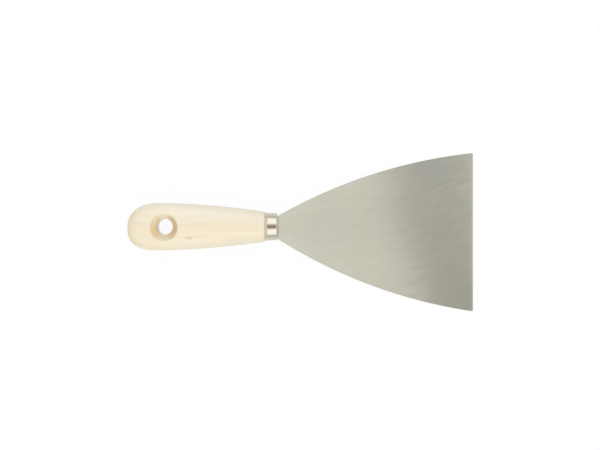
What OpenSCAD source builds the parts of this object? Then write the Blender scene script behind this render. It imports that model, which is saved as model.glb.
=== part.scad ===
// Flexible putty knife: wooden handle, drawn ferrule, taper-ground blade with a barbed tang.
// Millimetres. X runs along the knife towards the blade, Z out of its face, and the origin is
// the centre of the hanging hole.

/* [Blade] */
// Width across the working edge
blade_w = 100; // [60:1:150]
// Free length from the ferrule to the working edge
blade_len = 123.5; // [80:0.1:180]
// Width where the blade leaves the ferrule
neck_w = 14.2; // [12.2:0.2:18]
// Radius of each curved side
side_r = 315; // [200:1:800]
// Radius of the two corners of the working edge
corner_r = 1; // [0.3:0.1:3]
// Thickness at the neck and of the tang
neck_t = 1.5; // [1:0.1:2.5]
// Thickness at the working edge
edge_t = 0.5; // [0.3:0.1:1]
// Hollow of the ground faces, where 1 is a plain wedge
grind_hollow = 1.8; // [1:0.1:3]
// Set of the working edge's middle to one side of the handle's axis
edge_offset = -3.5; // [-8:0.1:8]
// Set of the neck's middle to one side of the handle's axis
neck_offset = -0.5; // [-1:0.1:1]

/* [Tang] */
// Width of the tang at the blade's shoulders
tang_w = 11; // [7:0.5:12]
// Width of the tang at its tip
tang_tip_w = 6; // [3:0.5:7]
// Length of the tang behind the shoulders
tang_len = 46; // [25:1:58]
// Barbs along each edge of the tang
barb_n = 4; // [1:1:8]
// Depth of the notch behind each barb
barb_depth = 0.7; // [0.3:0.1:1.2]
// Length of the notch behind each barb
barb_len = 2.5; // [1:0.1:3]

/* [Ferrule] */
// Length of the ferrule
ferrule_len = 8.2; // [6:0.1:20]
// Width across the closed front end
ferrule_w = 17; // [14:0.2:22]
// Thickness of the closed front end
ferrule_t = 12.8; // [9:0.2:18]
// Angle at which each side opens towards the handle
ferrule_draft = 2.5; // [0.5:0.5:6]
// Sheet that the ferrule is drawn from
ferrule_wall = 0.6; // [0.4:0.1:1]
// Radius of the front edge
ferrule_round = 0.8; // [0.7:0.1:3]
// Length of the open rim that flares towards the wood
rim_len = 1.7; // [0.5:0.1:3]
// Height of that flare at the open end
rim_flare = 0.35; // [0.05:0.05:0.6]

/* [Handle] */
// Length from the butt to the shoulder beside the ferrule
handle_len = 86.5; // [78:0.5:130]
// Width at the belly, the widest place
belly_w = 30; // [24:0.5:40]
// Thickness at the belly
belly_t = 18; // [15:0.5:26]
// Distance of the belly from the butt
belly_from_butt = 19.4; // [15:0.1:35]
// Fullness of the butt's outline, where 2 is an ellipse
butt_fullness = 2.4; // [2:0.1:4]
// Fullness of the butt seen from the side
butt_side_fullness = 2.9; // [2:0.1:4]
// How the body narrows past the belly, where 1 is a straight taper
body_curve = 1.8; // [1.2:0.1:3]
// Fullness of the cross section at the belly
belly_fullness = 3.2; // [2:0.1:4]
// Fullness of the cross section at the shoulder
shoulder_fullness = 2.1; // [2:0.1:4]
// Step from the wood down to the ferrule
shoulder_step = 0.7; // [0.3:0.05:2]
// Radius of the shoulder's edge
shoulder_round = 0.5; // [0.2:0.1:2]

/* [Hanging hole] */
// Diameter of the hole
hole_d = 10; // [5:0.5:12]
// Distance of the hole from the butt
hole_from_butt = 24.1; // [18:0.1:28]
// Diameter of the countersink at the handle's faces
sink_d = 17; // [13:0.5:20]

/* [Fits] */
// Gap round the tang in the ferrule's slot
slot_gap = 0.15; // [0.05:0.05:0.4]
// Gap round the tang in the wood
tang_gap = 0.1; // [0.05:0.05:0.3]
// Gap between the tenon and the ferrule
tenon_gap = 0.05; // [0.02:0.01:0.2]

/* [Hidden] */
$fn = 64;

// Cutters reach past what they cut by this much
over = 1;
// Points round every oval ring, and rings along the handle's butt, body and shoulder edge
ring_points = 56;
butt_rings = 14;
body_rings = 12;
edge_rings = 3;
// Where the first ring stands on the butt's outline, as an angle from its tip
tip_angle = 0.5;
// Strips along the hollow of the blade's faces
grind_steps = 12;
// Steps round the ferrule's front edge, and the least radius left on its inside
round_steps = 6;
least_round = 0.1;
// Share of a corner's radius that its centre keeps from both edges, so that its arc crosses them
corner_hold = 0.98;
// Facets that a preview draws round a blade's side
side_facets = 720;

// Stations along the knife
butt_x = -hole_from_butt;
belly_x = butt_x + belly_from_butt;
shoulder_x = butt_x + handle_len;
mouth_x = shoulder_x + ferrule_len;

// How far the blade's outline can reach to either side
fan_reach = blade_w / 2 + abs(edge_offset) + over;

// The shoulder of wood stands round the ferrule's open end
shoulder_rise = ferrule_len * tan(ferrule_draft) + shoulder_step;
shoulder_w = ferrule_w + 2 * shoulder_rise;
shoulder_t = ferrule_t + 2 * shoulder_rise;

// Half sizes of the handle's body along its length, and how full its section is

function past_belly(x) = max(0, x - belly_x) / (shoulder_x - belly_x);
function half_w(x) = (belly_w - (belly_w - shoulder_w) * pow(past_belly(x), body_curve)) / 2;
function half_t(x) = (belly_t - (belly_t - shoulder_t) * pow(past_belly(x), body_curve)) / 2;
function fullness(x) = belly_fullness + (shoulder_fullness - belly_fullness) * past_belly(x);

// One coordinate of a full oval, from the sine or cosine of the turn

function full(c, n) = sign(c) * pow(abs(c), 2 / n);

// Closed skin over oval rings, each [x, half width, half thickness, fullness]

module loft(rings) {
    last = (len(rings) - 1) * ring_points;
    points = [
        for (ring = rings, j = [0 : ring_points - 1])
            let (turn = 360 * j / ring_points)
            [ring[0], ring[1] * full(cos(turn), ring[3]), ring[2] * full(sin(turn), ring[3])]
    ];
    skin = [
        for (i = [0 : len(rings) - 2], j = [0 : ring_points - 1])
            let (a = i * ring_points + j)
            let (b = i * ring_points + (j + 1) % ring_points)
            each [[a, a + ring_points, b], [b, a + ring_points, b + ring_points]]
    ];
    first_cap = [[for (j = [0 : ring_points - 1]) j]];
    last_cap = [[for (j = [ring_points - 1 : -1 : 0]) last + j]];
    polyhedron(points, concat(first_cap, skin, last_cap));
}

butt_ring_list = [
    for (k = [0 : butt_rings])
        let (turn = tip_angle + (90 - tip_angle) * k / butt_rings)
        let (before = full(cos(turn), butt_fullness))
        let (broad = full(sin(turn), butt_fullness))
        let (thick = pow(1 - pow(before, butt_side_fullness), 1 / butt_side_fullness))
        [belly_x - belly_from_butt * before, broad * belly_w / 2, thick * belly_t / 2, belly_fullness]
];
body_ring_list = [
    for (k = [1 : body_rings])
        let (x = belly_x + (shoulder_x - shoulder_round - belly_x) * k / body_rings)
        [x, half_w(x), half_t(x), fullness(x)]
];
edge_ring_list = [
    for (k = [1 : edge_rings])
        let (turn = 90 * k / edge_rings)
        let (x = shoulder_x - shoulder_round * (1 - sin(turn)))
        let (inset = shoulder_round * (1 - cos(turn)))
        [x, half_w(x) - inset, half_t(x) - inset, fullness(x)]
];

// The ferrule's rings with its walls moved in, for its outside, its cavity and the tenon

function ferrule_ring(x, inset) =
    let (opening = (mouth_x - x) * tan(ferrule_draft))
    [x, ferrule_w / 2 + opening - inset, ferrule_t / 2 + opening - inset, 2];

function front_rings(inset) =
    let (round_r = max(ferrule_round - inset, least_round))
    [for (k = [0 : round_steps])
        let (turn = 90 * k / round_steps)
        ferrule_ring(mouth_x - inset - round_r * (1 - sin(turn)), inset + round_r * (1 - cos(turn)))];

function inside_rings(inset) = concat([ferrule_ring(shoulder_x - over, inset)], front_rings(inset));

rim_ring_list = [
    ferrule_ring(shoulder_x, -rim_flare),
    ferrule_ring(shoulder_x + rim_len, 0)
];

// Tang: straight in the ferrule, then tapered to the tip. Distances along it run back from the shoulders.

function tang_half(back) =
    let (taper = max(0, back - ferrule_len) / (tang_len - ferrule_len))
    (tang_w - (tang_w - tang_tip_w) * taper) / 2;

module tang_outline(gap) {
    root = tang_w / 2 + gap;
    tip = tang_tip_w / 2 + gap;
    end = -tang_len - gap;
    polygon([[over, root], [-ferrule_len, root], [end, tip],
             [end, -tip], [-ferrule_len, -root], [over, -root]]);
}

// Notches in both tapered edges. Each deepens towards the tip and ends in a square step, so the
// tang goes in freely and its barbs hold against a pull.

module barb_notches() {
    pitch = (tang_len - ferrule_len) / (barb_n + 1);
    for (side = [-1, 1], k = [1 : barb_n]) {
        step = ferrule_len + pitch * k;
        start = step - barb_len;
        floor = tang_half(step) - barb_depth;
        slope = (tang_half(start) - floor) / barb_len;
        lip = tang_half(start) + slope * over;
        polygon([[-step, side * floor], [-step, side * lip], [over - start, side * lip]]);
    }
}

// Blade: each side is an arc from the neck's corner to the working edge's corner

function side_centre(side) =
    let (neck = [0, side * neck_w / 2 + neck_offset])
    let (corner = [blade_len, side * blade_w / 2 + edge_offset])
    let (chord = corner - neck)
    let (across = [-chord.y, chord.x] / norm(chord))
    (neck + corner) / 2 - side * across * sqrt(pow(side_r, 2) - pow(norm(chord) / 2, 2));

module side_arcs() {
    intersection_for (side = [-1, 1])
        translate(side_centre(side))
            circle(side_r, $fn = side_facets);
}

// What the rounding takes off a corner of the working edge

module corner_waste(side) {
    centre = side_centre(side);
    hold = corner_hold * corner_r;
    x = blade_len - hold;
    rise = sqrt(pow(side_r - hold, 2) - pow(x - centre.x, 2));
    fillet = [x, centre.y + side * rise];
    outward = (fillet - centre) / norm(fillet - centre);
    beyond = fillet + outward * 2 * corner_r;
    difference() {
        polygon([fillet, [blade_len + corner_r, fillet.y], [blade_len + corner_r, beyond.y], beyond]);
        translate(fillet)
            circle(corner_r);
    }
}

module fan_outline() {
    difference() {
        intersection() {
            translate([0, -fan_reach])
                square([blade_len, 2 * fan_reach]);
            side_arcs();
        }
        for (side = [-1, 1])
            corner_waste(side);
    }
}

// Half thickness of the blade at a distance in front of the shoulders

function half_thickness(x) =
    let (left = max(0, 1 - x / blade_len))
    (edge_t + (neck_t - edge_t) * pow(left, grind_hollow)) / 2;

// Side view of the ground faces, which run out past the working edge

module grind_profile() {
    face = [
        for (k = [0 : grind_steps])
            let (x = (blade_len + over) * k / grind_steps)
            [x, half_thickness(x)]
    ];
    tang_end = -tang_len - over;
    top = concat([[tang_end, neck_t / 2]], face);
    bottom = [for (k = [len(top) - 1 : -1 : 0]) [top[k].x, -top[k].y]];
    polygon(concat(top, bottom));
}

module handle() {
    sink = (sink_d - hole_d) / 2;
    face_z = half_t(0);
    color("wheat")
        difference() {
            union() {
                loft(concat(butt_ring_list, body_ring_list, edge_ring_list));
                loft(inside_rings(ferrule_wall + tenon_gap));
            }
            translate([mouth_x, 0, 0])
                linear_extrude(neck_t + 2 * tang_gap, center = true)
                    tang_outline(tang_gap);
            cylinder(h = belly_t + 2 * over, d = hole_d, center = true);
            for (side = [0, 1])
                mirror([0, 0, side])
                    translate([0, 0, face_z - sink])
                        cylinder(h = sink + over, d1 = hole_d, d2 = sink_d + 2 * over);
        }
}

module ferrule() {
    color("silver")
        difference() {
            loft(concat(rim_ring_list, front_rings(0)));
            loft(inside_rings(ferrule_wall));
            translate([mouth_x, 0, 0])
                cube([2 * (ferrule_wall + over), tang_w + 2 * slot_gap, neck_t + 2 * slot_gap],
                     center = true);
        }
}

module blade() {
    color("darkgray")
        translate([mouth_x, 0, 0])
            intersection() {
                linear_extrude(neck_t + over, center = true)
                    union() {
                        fan_outline();
                        difference() {
                            tang_outline(0);
                            barb_notches();
                        }
                    }
                rotate([90, 0, 0])
                    linear_extrude(2 * fan_reach, center = true)
                        grind_profile();
            }
}

handle();
ferrule();
blade();
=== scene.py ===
import math

import bmesh
import bpy
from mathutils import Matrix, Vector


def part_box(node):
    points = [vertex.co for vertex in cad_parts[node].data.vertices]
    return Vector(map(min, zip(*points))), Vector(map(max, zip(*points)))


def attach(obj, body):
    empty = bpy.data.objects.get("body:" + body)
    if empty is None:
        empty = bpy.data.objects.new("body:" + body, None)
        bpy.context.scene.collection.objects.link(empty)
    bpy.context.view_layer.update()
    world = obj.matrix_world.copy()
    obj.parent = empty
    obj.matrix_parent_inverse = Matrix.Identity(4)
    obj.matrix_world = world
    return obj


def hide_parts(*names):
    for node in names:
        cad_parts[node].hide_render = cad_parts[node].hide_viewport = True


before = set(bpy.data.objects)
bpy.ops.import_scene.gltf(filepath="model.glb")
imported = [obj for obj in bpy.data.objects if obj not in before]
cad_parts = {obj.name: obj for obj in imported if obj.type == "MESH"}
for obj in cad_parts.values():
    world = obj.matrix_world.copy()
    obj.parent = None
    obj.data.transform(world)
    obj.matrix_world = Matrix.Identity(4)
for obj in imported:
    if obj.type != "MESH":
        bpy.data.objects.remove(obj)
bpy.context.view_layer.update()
print("frame loaded:", ", ".join(sorted(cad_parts)))


# sizes are written in millimetres, and Blender works in metres
def mm(value):
    return value / 1000


def allMm(values):
    return [mm(value) for value in values]


def inMm(corner):
    return [value * 1000 for value in corner]


handleLow, handleHigh = (inMm(corner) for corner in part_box("handle"))
ferruleLow, ferruleHigh = (inMm(corner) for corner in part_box("ferrule"))
bladeLow, bladeHigh = (inMm(corner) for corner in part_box("blade"))

# stations along the knife, from the butt to the working edge
buttX = handleLow[0]
shoulderX = ferruleLow[0]
mouthX = ferruleHigh[0]
edgeX = bladeHigh[0]

tiny = 0.01                # places closer than this count as one
endless = 1000             # radius of a spot that goes right through a piece
noiseSpan = (0.3, 0.7)     # where most of a noise's values lie


# modelling steps that the pieces share

def pickNothing():
    bpy.ops.object.select_all(action="DESELECT")


def pickOnly(piece):
    pickNothing()
    piece.select_set(True)
    bpy.context.view_layer.objects.active = piece


def nameNew(name):
    # the object that the last operator added
    piece = bpy.context.object
    piece.name = name
    piece.data.name = name
    return piece


def faceOutwards():
    # turn every face of the mesh in edit mode outwards, and leave that mode
    bpy.ops.mesh.select_all(action="SELECT")
    bpy.ops.mesh.normals_make_consistent(inside=False)
    bpy.ops.object.mode_set(mode="OBJECT")


def smoothBelow(piece, degrees):
    pickOnly(piece)
    bpy.ops.object.shade_smooth_by_angle(angle=math.radians(degrees))


def growBody(name, points, loops):
    # a filled circle is extruded once for each loop, and every loop is laid out by its own rule
    pickNothing()
    bpy.ops.mesh.primitive_circle_add(vertices=points, radius=mm(1), fill_type="NGON")
    body = nameNew(name)
    bpy.ops.object.mode_set(mode="EDIT")
    shape = bmesh.from_edit_mesh(body.data)
    turnLayer = shape.verts.layers.float.new("turn")
    for vert in shape.verts:
        vert[turnLayer] = math.atan2(vert.co.y, vert.co.x)
    for count, loop in enumerate(loops):
        if count:
            bpy.ops.mesh.extrude_region_move()
        shape = bmesh.from_edit_mesh(body.data)
        turnLayer = shape.verts.layers.float["turn"]
        for vert in shape.verts:
            if vert.select:
                vert.co = allMm(loop(vert[turnLayer]))
        bmesh.update_edit_mesh(body.data)
    faceOutwards()
    body.data.attributes.remove(body.data.attributes["turn"])
    return body


def growSlab(name, stations):
    # a plane across the knife is extruded along it: x, the middle's y, half width, half thickness
    x, middle, halfW, halfT = stations[0]
    start = (mm(x), mm(middle), 0)
    startSize = (1, mm(2 * halfW), mm(2 * halfT))
    pickNothing()
    bpy.ops.mesh.primitive_plane_add(size=1, location=start, rotation=(0, math.radians(90), 0))
    slab = nameNew(name)
    bpy.ops.object.transform_apply()
    bpy.ops.object.mode_set(mode="EDIT")
    bpy.ops.transform.resize(value=startSize, center_override=start)
    for nextX, nextMiddle, nextHalfW, nextHalfT in stations[1:]:
        move = (mm(nextX - x), mm(nextMiddle - middle), 0)
        bpy.ops.mesh.extrude_region_move(TRANSFORM_OT_translate={"value": move})
        grow = (1, nextHalfW / halfW, nextHalfT / halfT)
        bpy.ops.transform.resize(value=grow, center_override=(mm(nextX), mm(nextMiddle), 0))
        x, middle, halfW, halfT = nextX, nextMiddle, nextHalfW, nextHalfT
    faceOutwards()
    return slab


def softenEdges(piece, test, offset, segments):
    # bevel the edges that pass the test
    pickOnly(piece)
    bpy.ops.object.mode_set(mode="EDIT")
    bpy.ops.mesh.select_all(action="DESELECT")
    bpy.ops.mesh.select_mode(type="EDGE")
    shape = bmesh.from_edit_mesh(piece.data)
    for edge in shape.edges:
        edge.select = test(edge)
    shape.select_flush_mode()
    bmesh.update_edit_mesh(piece.data)
    bpy.ops.mesh.bevel(offset=mm(offset), segments=segments, affect="EDGES")
    bpy.ops.object.mode_set(mode="OBJECT")


def applyModifier(piece, kind, **settings):
    pickOnly(piece)
    bpy.ops.object.modifier_add(type=kind)
    modifier = piece.modifiers[-1]
    for setting, value in settings.items():
        setattr(modifier, setting, value)
    bpy.ops.object.modifier_apply(modifier=modifier.name)


def cutAway(piece, cutter):
    applyModifier(piece, "BOOLEAN", operation="DIFFERENCE", solver="EXACT", object=cutter)
    bpy.data.objects.remove(cutter, do_unlink=True)


def dress(piece, node, material):
    piece.data.materials.clear()
    piece.data.materials.append(material)
    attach(piece, "root")
    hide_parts(node)


# one coordinate of an oval that is fuller than an ellipse where fullness is above 2
def fullOval(ratio, fullness):
    return math.copysign(abs(ratio) ** (2 / fullness), ratio)


def ovalLoop(x, halfW, halfT, fullness):
    def place(turn):
        y = halfW * fullOval(math.cos(turn), fullness)
        z = halfT * fullOval(math.sin(turn), fullness)
        return x, y, z
    return place


# points along a curve that leaves one point, bends at the corner and comes to another
def softCorner(before, corner, after, steps=4):
    points = []
    for step in range(steps + 1):
        t = step / steps
        weights = ((1 - t) ** 2, 2 * t * (1 - t), t ** 2)
        pulls = list(zip(weights, (before, corner, after)))
        points.append([sum(weight * point[axis] for weight, point in pulls) for axis in (0, 1)])
    return points


# node trees

def addNode(tree, kind, settings, inputs):
    node = tree.nodes.new("ShaderNode" + kind)
    for name, value in settings.items():
        setattr(node, name, value)
    for socket, value in inputs.items():
        if isinstance(value, bpy.types.NodeSocket):
            tree.links.new(value, node.inputs[socket])
        else:
            node.inputs[socket].default_value = value
    return node


def mathNode(tree, operation, *values):
    return addNode(tree, "Math", {"operation": operation}, dict(enumerate(values))).outputs[0]


def axesOf(tree, vector):
    return addNode(tree, "SeparateXYZ", {}, {0: vector}).outputs


def spread(tree, value, low, high, outLow=0.0, outHigh=1.0, kind="SMOOTHSTEP"):
    sockets = {"Value": value, "From Min": low, "From Max": high, "To Min": outLow, "To Max": outHigh}
    return addNode(tree, "MapRange", {"interpolation_type": kind}, sockets).outputs[0]


def overBand(tree, value, band, outLow, outHigh):
    # the same over a band that is given in millimetres
    return spread(tree, value, *allMm(band), outLow, outHigh)


def mixColour(tree, factor, first, second):
    settings = {"data_type": "RGBA", "blend_type": "MIX"}
    return addNode(tree, "Mix", settings, {0: factor, 6: first, 7: second}).outputs[2]


def tintOver(tree, colour, value, band, share, tint):
    # lay a tint over a colour, from nothing at the band's first end to its share at the second
    return mixColour(tree, overBand(tree, value, band, 0.0, share), colour, tint)


def noise(tree, place, cells, turn=0.0, detail=3.0, roughness=0.5, distortion=0.0):
    # cells gives how many features fit in a metre along each axis
    moved = addNode(tree, "Mapping", {}, {"Vector": place, "Rotation": (0, 0, turn)}).outputs[0]
    scaled = addNode(tree, "Mapping", {}, {"Vector": moved, "Scale": cells}).outputs[0]
    sockets = {
        "Vector": scaled,
        "Scale": 1.0,
        "Detail": detail,
        "Roughness": roughness,
        "Distortion": distortion,
    }
    return addNode(tree, "TexNoise", {}, sockets).outputs[0]


def farFrom(tree, place, middle, radii):
    # distance from a middle, where 1 is the skin of an ellipsoid of these radii
    back = [mm(-value) for value in middle]
    cells = [1 / mm(value) for value in radii]
    moved = addNode(tree, "Mapping", {}, {"Vector": place, "Location": back}).outputs[0]
    scaled = addNode(tree, "Mapping", {}, {"Vector": moved, "Scale": cells}).outputs[0]
    return addNode(tree, "VectorMath", {"operation": "LENGTH"}, {0: scaled}).outputs["Value"]


def spot(tree, place, middle, radii, fade, share):
    # share of a tint at a spot, which fades from its second distance out to its first
    return spread(tree, farFrom(tree, place, middle, radii), *fade, 0.0, share)


def raggedSpot(tree, place, ragged, middle, radii, fade, share):
    # the same with a border that wanders
    distance = mathNode(tree, "ADD", farFrom(tree, place, middle, radii), ragged)
    return spread(tree, distance, *fade, 0.0, share)


def newMaterial(name):
    material = bpy.data.materials.new(name)
    material.use_nodes = True
    tree = material.node_tree
    return material, tree, tree.nodes["Principled BSDF"], tree.nodes.new("ShaderNodeTexCoord")


# camera straight above the knife, as in the photo
camera = {
    "middle": (84.8, 1.05),     # what the picture's middle looks at
    "height": 680,
    "frameW": 379.2,            # what the picture's width takes in at the blade's plane
    "sensor": 36,
}

cameraData = bpy.data.cameras.new("camera")
cameraData.sensor_width = camera["sensor"]
cameraData.sensor_fit = "HORIZONTAL"
cameraData.lens = camera["sensor"] * camera["height"] / camera["frameW"]
cameraObject = bpy.data.objects.new("camera", cameraData)
cameraObject.location = allMm((*camera["middle"], camera["height"]))
bpy.context.collection.objects.link(cameraObject)
bpy.context.scene.camera = cameraObject
bpy.context.scene.view_settings.view_transform = "Standard"
print("camera placed")


# blade: spring steel, taper ground, with a barbed tang that goes into the handle
blade = {
    "edgeW": 100.0,
    "edgeOffset": -3.5,          # the working edge's middle sits to one side of the handle's axis
    "neckW": 14.2,
    "neckOffset": -0.5,
    "sideR": 315.0,
    "neckT": 1.5,
    "edgeT": 0.5,
    "hollow": 1.8,               # how the thickness falls off, where 1 is a straight taper
    "stations": 48,
    "cornerRound": 1.0,
    "cornerSteps": 5,
    "outlineAngle": 60,          # edges of the outline are sharper than this
    "edgeSoft": 0.06,
    "edgeSteps": 3,
    "smoothBelow": 40,
    "tangW": 11.0,
    "tangTipW": 6.0,
    "barbs": 4,
    "barbDepth": 0.7,
    "barbLength": 2.5,
    "steel": {
        "grindTurn": 16.0,                    # degrees from the knife's length to the grinding marks
        "lineCells": (130, 1900, 1900),       # marks in a metre along and across them
        "strokeCells": (65, 420, 420),
        "cloudCells": (16, 22, 22),
        "lineShare": 0.6,
        "strokeShare": 0.4,
        "grindRange": (0.35, 0.65),
        "dark": (0.56, 0.547, 0.457, 1),
        "light": (0.62, 0.606, 0.509, 1),
        "cloudRange": (0.5, 0.7),
        "cloudShare": 0.5,
        "cloud": (0.607, 0.569, 0.509, 1),
        # painted reflection and shade: a band in mm, a share and a tint
        "paintedEdgeLight": ((edgeX - 9, edgeX - 1), 0.5, (0.635, 0.62, 0.52, 1)),
        "paintedNeckLight": ((mouthX + 32, mouthX), 0.5, (0.645, 0.63, 0.527, 1)),
        "paintedSideShade": ((-15, -50), 0.45, (0.49, 0.475, 0.40, 1)),
        "coolSpot": {
            "middle": (172, 38, 0),
            "radii": (17, 14, endless),
            "fade": (1.4, 0.3),
            "share": 0.45,
        },
        "coolTint": (0.49, 0.49, 0.45, 1),
        "edgeShadeBand": (1.1, 0.2),            # in from the sides, where the painted dark line runs
        "edgeShadeShare": 0.3,
        "paintedEdgeShade": (0.40, 0.385, 0.33, 1),
        "roughRange": (0.31, 0.34),
        "twist": 0.55,                        # lean in radians for each metre to the side
        "waver": 0.012,                       # lean in radians from stroke to stroke
        "bumpStrength": 0.08,
        "bumpDepth": 0.02,
    },
}


def sideCentre(side):
    # each side is one arc from the neck to the working edge's corner
    neck = (mouthX, side * blade["neckW"] / 2 + blade["neckOffset"])
    corner = (edgeX, side * blade["edgeW"] / 2 + blade["edgeOffset"])
    along, across = corner[0] - neck[0], corner[1] - neck[1]
    chord = math.hypot(along, across)
    reach = side * math.sqrt(blade["sideR"] ** 2 - (chord / 2) ** 2) / chord
    return (neck[0] + corner[0]) / 2 + across * reach, (neck[1] + corner[1]) / 2 - along * reach


def sideY(x, side):
    centreX, centreY = sideCentre(side)
    return centreY + side * math.sqrt(blade["sideR"] ** 2 - (x - centreX) ** 2)


def tangHalf(x):
    taper = max(0, shoulderX - x) / (shoulderX - bladeLow[0])
    return (blade["tangW"] - (blade["tangW"] - blade["tangTipW"]) * taper) / 2


def bladeStations():
    # from the tang's tip to the working edge
    halfT = blade["neckT"] / 2
    stations = [(bladeLow[0], 0, tangHalf(bladeLow[0]), halfT)]
    pitch = (shoulderX - bladeLow[0]) / (blade["barbs"] + 1)
    for barb in range(1, blade["barbs"] + 1):
        step = bladeLow[0] + barb * pitch
        stations.append((step, 0, tangHalf(step), halfT))
        stations.append((step, 0, tangHalf(step) - blade["barbDepth"], halfT))
        stations.append((step + blade["barbLength"], 0, tangHalf(step + blade["barbLength"]), halfT))
    stations.append((shoulderX, 0, tangHalf(shoulderX), halfT))
    stations.append((mouthX, 0, tangHalf(mouthX), halfT))
    for station in range(blade["stations"] + 1):
        share = station / blade["stations"]
        x = mouthX + (edgeX - mouthX) * share
        top, bottom = sideY(x, 1), sideY(x, -1)
        thick = blade["edgeT"] + (blade["neckT"] - blade["edgeT"]) * (1 - share) ** blade["hollow"]
        stations.append((x, (top + bottom) / 2, (top - bottom) / 2, thick / 2))
    return stations


def isCorner(edge):
    ends = [vert.co for vert in edge.verts]
    return min(end.x for end in ends) > mm(edgeX - tiny) and abs(ends[0].y - ends[1].y) < mm(tiny)


def isOutline(edge):
    ahead = min(vert.co.x for vert in edge.verts) > mm(mouthX - tiny)
    sharp = math.radians(blade["outlineAngle"])
    return ahead and len(edge.link_faces) == 2 and edge.calc_face_angle() > sharp


bladePiece = growSlab("ground_blade", bladeStations())
softenEdges(bladePiece, isCorner, blade["cornerRound"], blade["cornerSteps"])
softenEdges(bladePiece, isOutline, blade["edgeSoft"], blade["edgeSteps"])
smoothBelow(bladePiece, blade["smoothBelow"])
print("blade shaped:", len(bladePiece.data.polygons), "faces")

steel = blade["steel"]


def steelMaterial():
    material, tree, shader, source = newMaterial("ground spring steel")
    place = source.outputs["Object"]
    axes = axesOf(tree, place)
    slant = math.radians(-steel["grindTurn"])
    lines = noise(tree, place, steel["lineCells"], turn=slant, roughness=0.6)
    strokes = noise(tree, place, steel["strokeCells"], turn=slant)
    clouds = noise(tree, place, steel["cloudCells"], detail=2.0)
    grind = mathNode(tree, "MULTIPLY", lines, steel["lineShare"])
    grind = mathNode(tree, "MULTIPLY_ADD", strokes, steel["strokeShare"], grind)
    colour = mixColour(tree, spread(tree, grind, *steel["grindRange"]), steel["dark"], steel["light"])
    warm = spread(tree, clouds, *steel["cloudRange"], 0.0, steel["cloudShare"])
    colour = mixColour(tree, warm, colour, steel["cloud"])
    # painted reflection: lighter towards the working edge and the neck; painted shade along one side;
    # and a cooler, darker patch at a corner
    colour = tintOver(tree, colour, axes["X"], *steel["paintedEdgeLight"])
    colour = tintOver(tree, colour, axes["X"], *steel["paintedNeckLight"])
    colour = tintOver(tree, colour, axes["Y"], *steel["paintedSideShade"])
    colour = mixColour(tree, spot(tree, place, **steel["coolSpot"]), colour, steel["coolTint"])
    # painted shade: a faint dark line along the two sides
    sideR = blade["sideR"]
    inside = [1 - depth / sideR for depth in steel["edgeShadeBand"]]
    for side in (-1, 1):
        outward = farFrom(tree, place, (*sideCentre(side), 0), (sideR, sideR, endless))
        line = spread(tree, outward, *inside, 0.0, steel["edgeShadeShare"])
        colour = mixColour(tree, line, colour, steel["paintedEdgeShade"])
    tree.links.new(colour, shader.inputs["Base Color"])
    rough = spread(tree, grind, *steel["grindRange"], *steel["roughRange"], "LINEAR")
    tree.links.new(rough, shader.inputs["Roughness"])
    # thin spring steel is never quite flat: a slight twist and each stroke lean the reflections
    waver = spread(tree, strokes, *noiseSpan, -steel["waver"], steel["waver"], "LINEAR")
    lean = mathNode(tree, "MULTIPLY_ADD", axes["Y"], steel["twist"], waver)
    tilt = addNode(tree, "CombineXYZ", {}, {"X": lean}).outputs[0]
    tilted = {0: source.outputs["Normal"], 1: tilt}
    leaning = addNode(tree, "VectorMath", {"operation": "ADD"}, tilted).outputs[0]
    leaning = addNode(tree, "VectorMath", {"operation": "NORMALIZE"}, {0: leaning}).outputs[0]
    relief = {"Strength": steel["bumpStrength"], "Distance": mm(steel["bumpDepth"])}
    bump = addNode(tree, "Bump", {}, {**relief, "Height": lines, "Normal": leaning})
    tree.links.new(bump.outputs[0], shader.inputs["Normal"])
    # the grinding marks spread reflections across the blade
    across = addNode(tree, "Tangent", {"direction_type": "RADIAL", "axis": "X"}, {}).outputs[0]
    tree.links.new(across, shader.inputs["Tangent"])
    shader.inputs["Metallic"].default_value = 1.0
    shader.inputs["Anisotropic"].default_value = 1.0
    return material


dress(bladePiece, "blade", steelMaterial())
print("blade dressed")


# ferrule: a short oval cup drawn from thin sheet
ferrule = {
    "points": 128,
    "fullness": 2.0,
    "draft": 2.5,                # degrees that the wall closes towards the blade
    "wall": 0.6,
    "frontRound": 0.6,
    "leastRound": 0.1,           # inside the front
    "rimLength": 1.7,            # the open rim flares towards the wood
    "rimFlare": 0.35,
    "rimSoft": 0.85,
    "slotW": 11.3,
    "slotT": 1.8,
    "slotCut": 4,                # length of the slot's cutter
    "steps": 6,
    "smoothBelow": 35,
    "nickel": {
        "wipeCells": (120, 900, 900),         # features in a metre
        "hazeCells": (90, 140, 140),
        "dark": (0.60, 0.565, 0.485, 1),
        "light": (0.635, 0.60, 0.525, 1),
        # painted reflection: a band in mm, a share and a tint for each
        "paintedRimReflection": ((shoulderX + 5.0, shoulderX), 0.6, (0.69, 0.59, 0.42, 1)),
        "paintedCrownReflection": ((2.4, 1.0), 0.8, (0.62, 0.535, 0.385, 1)),
        "roughRange": (0.12, 0.19),
        "bumpStrength": 0.06,
        "bumpDepth": 0.03,
    },
}


def ferruleRing(x, inset):
    # the ferrule's oval at a station, with its wall moved in
    closing = (x - shoulderX) * math.tan(math.radians(ferrule["draft"])) + ferrule["rimFlare"] + inset
    return ovalLoop(x, ferruleHigh[1] - closing, ferruleHigh[2] - closing, ferrule["fullness"])


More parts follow.
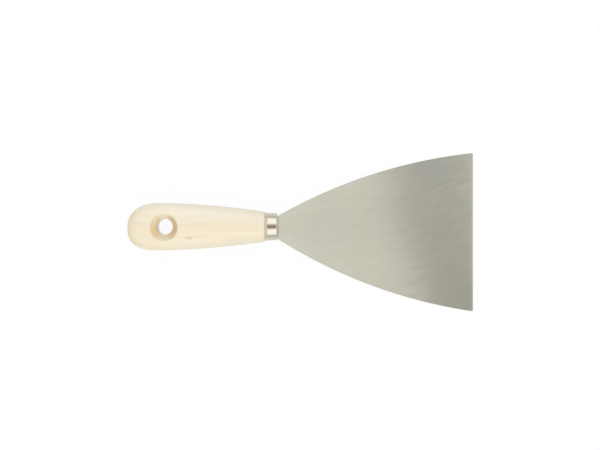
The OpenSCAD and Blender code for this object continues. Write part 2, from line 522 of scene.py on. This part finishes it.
def ferruleLoops():
    wall, front = ferrule["wall"], ferrule["frontRound"]
    turns = [math.radians(90 * step / ferrule["steps"]) for step in range(ferrule["steps"] + 1)]
    inner = max(front - wall, ferrule["leastRound"])
    loops = [ferruleRing(mouthX - wall, wall + 2 * inner)]
    for turn in reversed(turns):
        x = mouthX - wall - inner * (1 - math.sin(turn))
        loops.append(ferruleRing(x, wall + inner * (1 - math.cos(turn))))
    loops.append(ferruleRing(shoulderX, wall))
    loops.append(ferruleRing(shoulderX, -ferrule["rimFlare"]))
    rimEnd, rimSoft = shoulderX + ferrule["rimLength"], ferrule["rimSoft"]
    rise = ferrule["rimFlare"] * rimSoft / ferrule["rimLength"]
    for x, depth in softCorner((rimEnd - rimSoft, -rise), (rimEnd, 0), (rimEnd + rimSoft, 0)):
        loops.append(ferruleRing(x, depth))
    # straight wall between two close loops, so that its shading stays straight
    loops.append(ferruleRing(rimEnd + 2 * rimSoft, 0))
    loops.append(ferruleRing(mouthX - front - rimSoft, 0))
    for turn in turns:
        x = mouthX - front * (1 - math.sin(turn))
        loops.append(ferruleRing(x, front * (1 - math.cos(turn))))
    loops.append(ferruleRing(mouthX, 2 * front))
    return loops


def boxCutter(size, middle):
    pickNothing()
    bpy.ops.mesh.primitive_cube_add(size=1, location=allMm(middle))
    cutter = bpy.context.object
    cutter.dimensions = allMm(size)
    bpy.ops.object.transform_apply()
    return cutter


slotSize = (ferrule["slotCut"], ferrule["slotW"], ferrule["slotT"])
ferrulePiece = growBody("drawn_ferrule", ferrule["points"], ferruleLoops())
cutAway(ferrulePiece, boxCutter(slotSize, (mouthX, 0, 0)))
smoothBelow(ferrulePiece, ferrule["smoothBelow"])
print("ferrule shaped:", len(ferrulePiece.data.polygons), "faces")

nickel = ferrule["nickel"]


def nickelMaterial():
    material, tree, shader, source = newMaterial("polished nickel")
    place = source.outputs["Object"]
    axes = axesOf(tree, place)
    wipes = noise(tree, place, nickel["wipeCells"])
    haze = noise(tree, place, nickel["hazeCells"], detail=2.0)
    colour = mixColour(tree, spread(tree, haze, *noiseSpan), nickel["dark"], nickel["light"])
    # painted reflection: warm at the rim, where the wood shows in the metal, and brown along the crown
    # of each face, where the dark reflection runs
    colour = tintOver(tree, colour, axes["X"], *nickel["paintedRimReflection"])
    colour = tintOver(tree, colour, mathNode(tree, "ABSOLUTE", axes["Y"]), *nickel["paintedCrownReflection"])
    tree.links.new(colour, shader.inputs["Base Color"])
    rough = spread(tree, wipes, *noiseSpan, *nickel["roughRange"], "LINEAR")
    tree.links.new(rough, shader.inputs["Roughness"])
    relief = {"Strength": nickel["bumpStrength"], "Distance": mm(nickel["bumpDepth"])}
    bump = addNode(tree, "Bump", {}, {**relief, "Height": wipes})
    tree.links.new(bump.outputs[0], shader.inputs["Normal"])
    shader.inputs["Metallic"].default_value = 1.0
    return material


dress(ferrulePiece, "ferrule", nickelMaterial())
print("ferrule dressed")


# handle: one piece of pale hardwood
handle = {
    "points": 64,
    "bellyFromButt": 19.4,
    "bellyW": 30.0,
    "bellyT": 18.0,
    "bodyCurve": 1.8,            # how the body narrows past the belly, where 1 is a straight taper
    "shoulderStep": 0.7,
    "shoulderRound": 0.25,
    "shoulderTurns": (30, 60, 90),
    "buttFullness": 2.4,
    "buttSideFullness": 2.9,
    "buttOff": -1.0,             # the butt's rounding was sanded a little off the axis
    "buttOffCurve": 1.25,
    "bellyFullness": 3.2,
    "shoulderFullness": 2.1,
    "buttRings": 13,
    "bodyRings": 14,
    "subdivisions": 2,
    "smoothBelow": 35,
    "firstTurn": 2.0,            # degrees round the butt's outline to its first ring
    "tenonInset": 0.7,           # tenon below the ferrule's outside
    "cornerHold": (0.2, 0.3),    # loops close to the tenon's inner corner, out and along
    "tenonEdge": (0.4, 0.2),     # the tenon's front edge is eased, along and in
    "tenonCap": 1.0,
    "mortiseGap": 0.1,
    "mortisePast": 1.0,          # the mortise's cutter goes past the tenon's end
    "holeR": 5.0,
    "sink": 3.5,                 # depth and width of the countersink
    "sinkOff": (-0.35, -0.5),    # the countersink was cut by hand, a little off the bore's axis
    "sinkWider": (0.35, 0.8),    # and a little wider along the knife, more across it
    "rimSettles": 8,             # rounds in which the rim's radius settles
    "holeWaist": 2.0,
    "holePoints": 96,
    "boreSoft": 0.5,
    "rimSoft": 0.45,
    "rimRun": 1.4,               # the rim's rounding runs out over the face, in steps of rimSoft
    "cutterClear": 0.06,         # above the face the cutter opens out
    "cutterFlare": 0.6,
    "cutterRise": (0.4, 3),
    "wood": {
        "streakCells": (16, 620, 620),        # features in a metre along and across the grain
        "figureCells": (7, 160, 160),
        "poreCells": (150, 2300, 2300),
        "pith": (0, -14, -52),                # middle of the growth rings
        "ringScale": 95.0,
        "ringWaver": 1.2,
        "streakShare": 0.55,
        "figureShare": 0.3,
        "ringShare": 0.14,
        "grainRange": (0.3, 0.75),
        "early": (0.825, 0.745, 0.572, 1),
        "late": (0.757, 0.657, 0.458, 1),
        "edgeHighlightSlant": 0.09,                 # the painted highlight widens towards the ferrule
        "edgeHighlightWander": 8,
        "upperEdgeHighlight": ((6, 17), 0.75),      # band across the handle, and share
        "lowerEdgeHighlight": ((-8, -16), 0.35),
        "paintedEdgeHighlight": (0.83, 0.78, 0.655, 1),
        "poreRange": (0.62, 0.74),
        "poreShare": 0.22,
        "pore": (0.60, 0.46, 0.27, 1),
        "crossCutRange": (0.1, 0.6),          # how squarely a cut crosses the grain
        "slopeRange": (0.0, 0.5),             # how far a face leans from upright
        "drilledRange": (1.01, 0.94),         # share of the rim's radius at which the cut starts
        "scorchCells": (160, 160, 60),
        "scorchRange": (0.45, 0.85),
        "paleUpperLeft": ((5, 9.5), 0.65),    # band, and what is left of the scorch
        # painted light: the lower flank's scorch is thinned, making up for light it lacks
        "lowerPaintedLight": ((-1.5, -6.5), 0.5),
        "leastScorch": 0.1,
        "boreScorch": 0.2,                    # share that the upright bore gets
        "buttScorch": 0.06,
        "scorch": (0.66, 0.495, 0.28, 1),
        "warmSpot": {
            "middle": (-7.4, -3.6, 0),
            "radii": (3.4, 5.0, endless),
            "fade": (1.6, 0.6),
            "share": 0.6,
        },
        "warm": (0.76, 0.51, 0.24, 1),
        "paintedShadeLean": (-0.2, -0.7),           # how far a face leans towards the butt
        "paintedShadeShare": 0.3,
        "paintedShade": (0.45, 0.34, 0.18, 1),
        "knotEye": {
            "middle": (16.2, -7.1, 7.6),
            "radii": (1.3, 1.1, 2.5),
            "fade": (1.5, 0.4),
            "share": 0.7,
        },
        "knotTail": {
            "middle": (14.6, -7.0, 7.6),
            "radii": (2.5, 1.0, 2.5),
            "fade": (1.5, 0.4),
            "share": 0.35,
        },
        "knot": (0.46, 0.31, 0.13, 1),
        "ragged": 0.6,                        # how far the streaks draw out a spot's border
        "roughRange": (0.36, 0.47),
        "sinkRougher": 0.2,                   # the countersink is left rough
        "boreSmoother": 0.22,                 # and lacquer gathers in the bore
        "poreDepth": 0.6,
        "bumpStrength": 0.25,
        "bumpDepth": 0.05,
        "ior": 1.47,
    },
}

bellyX = buttX + handle["bellyFromButt"]
shoulderW = 2 * (ferruleHigh[1] - ferrule["rimFlare"] + handle["shoulderStep"])
shoulderT = 2 * (ferruleHigh[2] - ferrule["rimFlare"] + handle["shoulderStep"])


def swell(before, fullness):
    # share of the full size at a share of the way from the belly to the butt
    return max(0, 1 - before ** fullness) ** (1 / fullness)


def woodRing(x):
    # half width, half thickness and fullness of the wood at a station
    if x < bellyX:
        before = (bellyX - x) / handle["bellyFromButt"]
        broad = swell(before, handle["buttFullness"])
        thick = swell(before, handle["buttSideFullness"])
        return broad * handle["bellyW"] / 2, thick * handle["bellyT"] / 2, handle["bellyFullness"]
    past = (x - bellyX) / (shoulderX - bellyX)
    narrow = past ** handle["bodyCurve"]
    halfW = (handle["bellyW"] - (handle["bellyW"] - shoulderW) * narrow) / 2
    halfT = (handle["bellyT"] - (handle["bellyT"] - shoulderT) * narrow) / 2
    full = handle["bellyFullness"] + (handle["shoulderFullness"] - handle["bellyFullness"]) * past
    return halfW, halfT, full


def woodMiddle(x):
    before = max(0, (bellyX - x) / handle["bellyFromButt"])
    return handle["buttOff"] * before ** handle["buttOffCurve"]


def woodLoop(x):
    ring = ovalLoop(x, *woodRing(x))

    def place(turn):
        ringX, y, z = ring(turn)
        return ringX, y + woodMiddle(x), z
    return place


def woodTop(x, y):
    halfW, halfT, full = woodRing(x)
    return halfT * max(0, 1 - abs((y - woodMiddle(x)) / halfW) ** full) ** (1 / full)


def tenonLoops():
    # shoulder face, then the tenon that fills the ferrule
    inset, end = handle["tenonInset"], handleHigh[0]
    holdOut, holdAlong = handle["cornerHold"]
    easeAlong, easeIn = handle["tenonEdge"]
    stations = (
        (shoulderX, inset - holdOut),
        (shoulderX, inset),
        (shoulderX + holdAlong, inset),
        (end - easeAlong, inset),
        (end, inset + easeIn),
        (end, inset + handle["tenonCap"]),
    )
    return [ferruleRing(x, depth) for x, depth in stations]


def handleLoops():
    loops = []
    for ring in range(handle["buttRings"]):
        turn = handle["firstTurn"] + (90 - handle["firstTurn"]) * ring / handle["buttRings"]
        out = fullOval(math.cos(math.radians(turn)), handle["buttFullness"])
        loops.append(woodLoop(bellyX - handle["bellyFromButt"] * out))
    soft = handle["shoulderRound"]
    for ring in range(handle["bodyRings"] + 1):
        loops.append(woodLoop(bellyX + (shoulderX - soft - bellyX) * ring / handle["bodyRings"]))
    halfW, halfT, full = woodRing(shoulderX)
    for turn in handle["shoulderTurns"]:
        drop = soft * (1 - math.cos(math.radians(turn)))
        x = shoulderX - soft * (1 - math.sin(math.radians(turn)))
        loops.append(ovalLoop(x, halfW - drop, halfT - drop, full))
    return loops + tenonLoops()


def mortiseStations():
    gap = handle["mortiseGap"]
    ends = (bladeLow[0] - gap, shoulderX, handleHigh[0] + handle["mortisePast"])
    return [(x, 0, tangHalf(x) + gap, blade["neckT"] / 2 + gap) for x in ends]


def faceOut(turn, radius):
    # height of the wood's face at a place beside the hole
    return woodTop(radius * math.cos(turn), radius * math.sin(turn))


def sinkBottom(turn):
    # height at which the countersink leaves the bore
    along, across = math.cos(turn), math.sin(turn)
    off = handle["sinkOff"][0] * along + handle["sinkOff"][1] * across
    wider = handle["sinkWider"][0] * along ** 2 + handle["sinkWider"][1] * across ** 2
    return woodRing(0)[1] - handle["sink"] - off - wider


def holeRim(turn):
    # radius at which the countersink meets the wood's face
    rim = handle["holeR"] + handle["sink"]
    for settle in range(handle["rimSettles"]):
        rim = handle["holeR"] + faceOut(turn, rim) - sinkBottom(turn)
    return rim


def holeProfile(turn):
    # radius and height from the bore's waist up to the rim, which follows the wood's own face
    holeR, bore, soft = handle["holeR"], handle["boreSoft"], handle["rimSoft"]
    sinkZ = sinkBottom(turn)
    rim = holeRim(turn)
    rimZ = faceOut(turn, rim)
    out = rim + handle["rimRun"] * soft
    outZ = faceOut(turn, out) + handle["cutterClear"]
    flare = handle["cutterFlare"]
    firstRise, lastRise = handle["cutterRise"]
    points = [(holeR, handle["holeWaist"])]
    points += softCorner((holeR, sinkZ - bore), (holeR, sinkZ), (holeR + bore, sinkZ + bore))
    points += softCorner((rim - soft, rimZ - soft), (rim, rimZ), (out, outZ))
    points.append((out + flare, faceOut(turn, out + flare) + firstRise))
    points.append((out + 2 * flare, woodRing(0)[1] + lastRise))
    return points


def holeLoops():
    levels = len(holeProfile(0))

    def levelLoop(level, way):
        def place(turn):
            radius, z = holeProfile(turn)[level]
            return radius * math.cos(turn), radius * math.sin(turn), way * z
        return place
    below = [levelLoop(level, -1) for level in reversed(range(levels))]
    return below + [levelLoop(level, 1) for level in range(levels)]


subdivisions = handle["subdivisions"]
handlePiece = growBody("wood_handle", handle["points"], handleLoops())
applyModifier(handlePiece, "SUBSURF", levels=subdivisions, render_levels=subdivisions)
cutAway(handlePiece, growSlab("mortise_cutter", mortiseStations()))
cutAway(handlePiece, growBody("hole_cutter", handle["holePoints"], holeLoops()))
smoothBelow(handlePiece, handle["smoothBelow"])
print("handle shaped:", len(handlePiece.data.polygons), "faces")

wood = handle["wood"]


def grainColour(tree, place, axes, streaks):
    # early and late wood in streaks and growth rings
    figure = noise(tree, place, wood["figureCells"], detail=2.0, distortion=0.4)
    fromPith = {"Vector": place, "Location": [mm(-value) for value in wood["pith"]]}
    pith = addNode(tree, "Mapping", {}, fromPith).outputs[0]
    ringSettings = {"wave_type": "RINGS", "rings_direction": "X", "wave_profile": "SAW"}
    ringInputs = {"Vector": pith, "Scale": wood["ringScale"], "Distortion": wood["ringWaver"]}
    ringInputs.update({"Detail": 1.0, "Detail Scale": 0.4})
    rings = addNode(tree, "TexWave", ringSettings, ringInputs).outputs[1]
    blend = mathNode(tree, "MULTIPLY", streaks, wood["streakShare"])
    blend = mathNode(tree, "MULTIPLY_ADD", figure, wood["figureShare"], blend)
    blend = mathNode(tree, "MULTIPLY_ADD", rings, wood["ringShare"], blend)
    colour = mixColour(tree, spread(tree, blend, *wood["grainRange"]), wood["early"], wood["late"])
    # painted highlight: paler along the edges, more along the upper one
    upper = mathNode(tree, "MULTIPLY_ADD", axes["X"], wood["edgeHighlightSlant"], axes["Y"])
    upper = mathNode(tree, "MULTIPLY_ADD", figure, mm(wood["edgeHighlightWander"]), upper)
    lower = mathNode(tree, "MULTIPLY_ADD", axes["X"], -wood["edgeHighlightSlant"], axes["Y"])
    shares = []
    for side, (band, share) in ((upper, wood["upperEdgeHighlight"]), (lower, wood["lowerEdgeHighlight"])):
        shares.append(overBand(tree, side, band, 0.0, share))
    return mixColour(tree, mathNode(tree, "MAXIMUM", *shares), colour, wood["paintedEdgeHighlight"])


def drilledShare(tree, place):
    # 1 inside the countersink's rim
    ahead, upper, behind, lower = (holeRim(math.radians(degrees)) for degrees in (0, 90, 180, 270))
    middle = ((ahead - behind) / 2, (upper - lower) / 2, 0)
    fromHole = farFrom(tree, place, middle, ((ahead + behind) / 2, (upper + lower) / 2, endless))
    return spread(tree, fromHole, *wood["drilledRange"])


def scorchShare(tree, place, axes, crossCut, sloping, drilled):
    # cut fibres show darker in the drilled hole, most where the cut crosses the grain
    scorch = noise(tree, place, wood["scorchCells"], detail=2.0)
    scorch = spread(tree, scorch, *noiseSpan, *wood["scorchRange"])
    upperLeft = mathNode(tree, "SUBTRACT", axes["Y"], axes["X"])
    # the scorch thins in a band at the upper left, and on the lower side as painted light
    for side, (band, left) in ((upperLeft, wood["paleUpperLeft"]), (axes["Y"], wood["lowerPaintedLight"])):
        scorch = mathNode(tree, "MULTIPLY", scorch, overBand(tree, side, band, 1.0, left))
    raw = mathNode(tree, "MULTIPLY_ADD", crossCut, scorch, wood["leastScorch"])
    onSlope = mathNode(tree, "MULTIPLY_ADD", sloping, 1 - wood["boreScorch"], wood["boreScorch"])
    raw = mathNode(tree, "MULTIPLY", mathNode(tree, "MULTIPLY", raw, onSlope), drilled)
    return mathNode(tree, "MAXIMUM", raw, mathNode(tree, "MULTIPLY", crossCut, wood["buttScorch"]))


def woodMaterial():
    material, tree, shader, source = newMaterial("pale lacquered wood")
    place = source.outputs["Object"]
    axes = axesOf(tree, place)
    facing = axesOf(tree, source.outputs["Normal"])
    streaks = noise(tree, place, wood["streakCells"], detail=5.0, roughness=0.6)
    colour = grainColour(tree, place, axes, streaks)
    # short pores along the grain
    pores = spread(tree, noise(tree, place, wood["poreCells"], detail=2.0), *wood["poreRange"])
    colour = mixColour(tree, mathNode(tree, "MULTIPLY", pores, wood["poreShare"]), colour, wood["pore"])
    # the drilled hole
    crossCut = spread(tree, mathNode(tree, "ABSOLUTE", facing["X"]), *wood["crossCutRange"])
    sloping = spread(tree, mathNode(tree, "ABSOLUTE", facing["Z"]), *wood["slopeRange"])
    drilled = drilledShare(tree, place)
    scorched = scorchShare(tree, place, axes, crossCut, sloping, drilled)
    colour = mixColour(tree, scorched, colour, wood["scorch"])
    # the cutter left a warm patch low on the butt side; painted shade darkens the flanks that face the
    # butt
    ragged = mathNode(tree, "MULTIPLY", streaks, wood["ragged"])
    warm = mathNode(tree, "MULTIPLY", raggedSpot(tree, place, ragged, **wood["warmSpot"]), drilled)
    colour = mixColour(tree, warm, colour, wood["warm"])
    paintedShade = spread(tree, facing["X"], *wood["paintedShadeLean"], 0.0, wood["paintedShadeShare"])
    colour = mixColour(tree, mathNode(tree, "MULTIPLY", paintedShade, drilled), colour, wood["paintedShade"])
    # a pin knot beside the hole, with a tail drawn out along the grain
    eye = raggedSpot(tree, place, ragged, **wood["knotEye"])
    tail = raggedSpot(tree, place, ragged, **wood["knotTail"])
    colour = mixColour(tree, mathNode(tree, "MAXIMUM", eye, tail), colour, wood["knot"])
    tree.links.new(colour, shader.inputs["Base Color"])
    rough = spread(tree, streaks, *noiseSpan, *wood["roughRange"], "LINEAR")
    slopeRougher = wood["sinkRougher"] + wood["boreSmoother"]
    rougher = mathNode(tree, "MULTIPLY_ADD", sloping, slopeRougher, -wood["boreSmoother"])
    tree.links.new(mathNode(tree, "MULTIPLY_ADD", drilled, rougher, rough), shader.inputs["Roughness"])
    relief = {"Strength": wood["bumpStrength"], "Distance": mm(wood["bumpDepth"])}
    height = mathNode(tree, "MULTIPLY_ADD", pores, -wood["poreDepth"], streaks)
    bump = addNode(tree, "Bump", {}, {**relief, "Height": height})
    tree.links.new(bump.outputs[0], shader.inputs["Normal"])
    shader.inputs["IOR"].default_value = wood["ior"]
    return material


dress(handlePiece, "handle", woodMaterial())
print("handle dressed")


# floor: the knife lies on its wooden shoulder and its working edge
floor = {
    "size": 4000,
    "underShoulder": (shoulderX - handle["shoulderRound"], -shoulderT / 2),
    "underEdge": (edgeX, -blade["edgeT"] / 2),
    "ownShade": 0.06,            # share of real light and shadow in what the camera sees
    "bounce": 0.6,               # paleness towards the knife
    "paleness": 0.95,            # paleness towards the camera
    "plainBand": (250, 600),     # over this distance the floor fades to plain white
}


def floorMaterial():
    material = bpy.data.materials.new("pale floor")
    material.use_nodes = True
    tree = material.node_tree
    tree.nodes.clear()
    rays = tree.nodes.new("ShaderNodeLightPath").outputs
    seen = mathNode(tree, "MAXIMUM", rays["Is Camera Ray"], rays["Is Glossy Ray"])
    seen = mathNode(tree, "MAXIMUM", seen, rays["Is Transmission Ray"])
    place = tree.nodes.new("ShaderNodeTexCoord").outputs["Object"]
    distance = addNode(tree, "VectorMath", {"operation": "LENGTH"}, {0: place}).outputs["Value"]
    plain = overBand(tree, distance, floor["plainBand"], 1 - floor["ownShade"], 1.0)
    paint = addNode(tree, "Mix", {}, {0: seen, 2: floor["bounce"], 3: floor["paleness"]}).outputs[0]
    matt = addNode(tree, "BsdfDiffuse", {}, {"Color": paint}).outputs[0]
    white = addNode(tree, "Emission", {}, {"Strength": 1.0}).outputs[0]
    glow = mathNode(tree, "MULTIPLY", seen, plain)
    lit = addNode(tree, "MixShader", {}, {0: glow, 1: matt, 2: white}).outputs[0]
    addNode(tree, "OutputMaterial", {}, {"Surface": lit})
    return material


pickNothing()
bpy.ops.mesh.primitive_plane_add(size=mm(floor["size"]))
floorPiece = nameNew("floor")
shoulderTouch, edgeTouch = floor["underShoulder"], floor["underEdge"]
floorTilt = math.atan2(edgeTouch[1] - shoulderTouch[1], edgeTouch[0] - shoulderTouch[0])
floorPiece.rotation_euler = (0, -floorTilt, 0)
floorPiece.location = (mm(shoulderTouch[0]), 0, mm(shoulderTouch[1]))
floorPiece.data.materials.append(floorMaterial())
print("floor laid")


# studio light: two broad overhead panels with a slit between them for the camera
studio = {
    "panelHeight": 450,
    "slit": (-80, 142),              # sides of the dark slit
    "panelEnds": (-700, 780),        # how far the panels go out to the sides
    "panelFrom": -310,               # along the slit, from below the camera
    "panelTo": 81,                   # the panels end over the blade's middle
    "panelLight": 0.76,              # radiance
    "wallLight": 0.68,               # room round the knife
    "ceilingLight": 0.79,
    "ceilingFrom": (0.15, 0.55),     # upward share of the direction where wall turns to ceiling
    "aheadGain": 1.6,                # the room is lighter beyond the blade
    "zenithLight": 0.31,             # darker over the slit
    "zenithCone": (0.94, 0.988),     # upward share where the dark part starts and is full
    "zenithLean": (-3.0, -5.0),      # degrees that the dark part leans along and across the knife
}

panelX = camera["middle"][0] + (studio["panelFrom"] + studio["panelTo"]) / 2
for slitSide, panelEnd in zip(studio["slit"], studio["panelEnds"]):
    panel = bpy.data.lights.new("panel", "AREA")
    panel.shape = "RECTANGLE"
    panel.size = mm(studio["panelTo"] - studio["panelFrom"])
    panel.size_y = mm(abs(panelEnd - slitSide))
    panel.energy = studio["panelLight"] * math.pi * panel.size * panel.size_y
    panelObject = bpy.data.objects.new("panel", panel)
    panelObject.location = allMm((panelX, (slitSide + panelEnd) / 2, studio["panelHeight"]))
    panelObject.visible_camera = False
    bpy.context.collection.objects.link(panelObject)

# soft fill lamps round the knife that the metal doesn't mirror
fill = {
    "size": 500,
    "lamps": {                       # place and watts
        "upperSide": ((20, 700, 500), 0.4),
        "lowerSide": ((20, -700, 400), 0.9),
        "buttSide": ((-700, 0, 300), 0.25),
    },
}

for lampPlace, watts in fill["lamps"].values():
    lamp = bpy.data.lights.new("fill", "AREA")
    lamp.size = mm(fill["size"])
    lamp.energy = watts
    lampObject = bpy.data.objects.new("fill", lamp)
    lampObject.location = allMm(lampPlace)
    lampObject.rotation_euler = lampObject.location.to_track_quat("Z", "Y").to_euler()
    lampObject.visible_camera = False
    lampObject.visible_glossy = False
    bpy.context.collection.objects.link(lampObject)


def lightRoom(world):
    world.use_nodes = True
    tree = world.node_tree
    tree.nodes.clear()
    rays = tree.nodes.new("ShaderNodeLightPath").outputs
    look = tree.nodes.new("ShaderNodeTexCoord").outputs["Generated"]
    axes = axesOf(tree, look)
    wallTop, ceilingStart = studio["ceilingFrom"]
    room = spread(tree, axes["Z"], wallTop, ceilingStart, studio["wallLight"], studio["ceilingLight"])
    ahead = spread(tree, axes["X"], 0.0, 1.0, 1.0, studio["aheadGain"], "LINEAR")
    room = mathNode(tree, "MULTIPLY", room, ahead)
    darkest = [math.tan(math.radians(degrees)) for degrees in studio["zenithLean"]] + [1.0]
    darkest = [value / math.hypot(*darkest) for value in darkest]
    looks = {0: look, 1: darkest}
    upward = addNode(tree, "VectorMath", {"operation": "DOT_PRODUCT"}, looks).outputs["Value"]
    ceiling = spread(tree, upward, *studio["zenithCone"], room, studio["zenithLight"])
    # the white surroundings also show in metal, low down where the floor's white goes on
    mirrored = mathNode(tree, "MAXIMUM", rays["Is Glossy Ray"], rays["Is Transmission Ray"])
    mirrored = mathNode(tree, "MULTIPLY", mirrored, spread(tree, axes["Z"], wallTop, 0.0))
    seen = mathNode(tree, "MAXIMUM", rays["Is Camera Ray"], mirrored)
    strength = addNode(tree, "Mix", {}, {0: seen, 2: ceiling, 3: 1.0}).outputs[0]
    sky = addNode(tree, "Background", {}, {"Color": (1, 1, 1, 1), "Strength": strength}).outputs[0]
    addNode(tree, "OutputWorld", {}, {"Surface": sky})


studioWorld = bpy.data.worlds.new("studio")
bpy.context.scene.world = studioWorld
lightRoom(studioWorld)
print("studio lit")
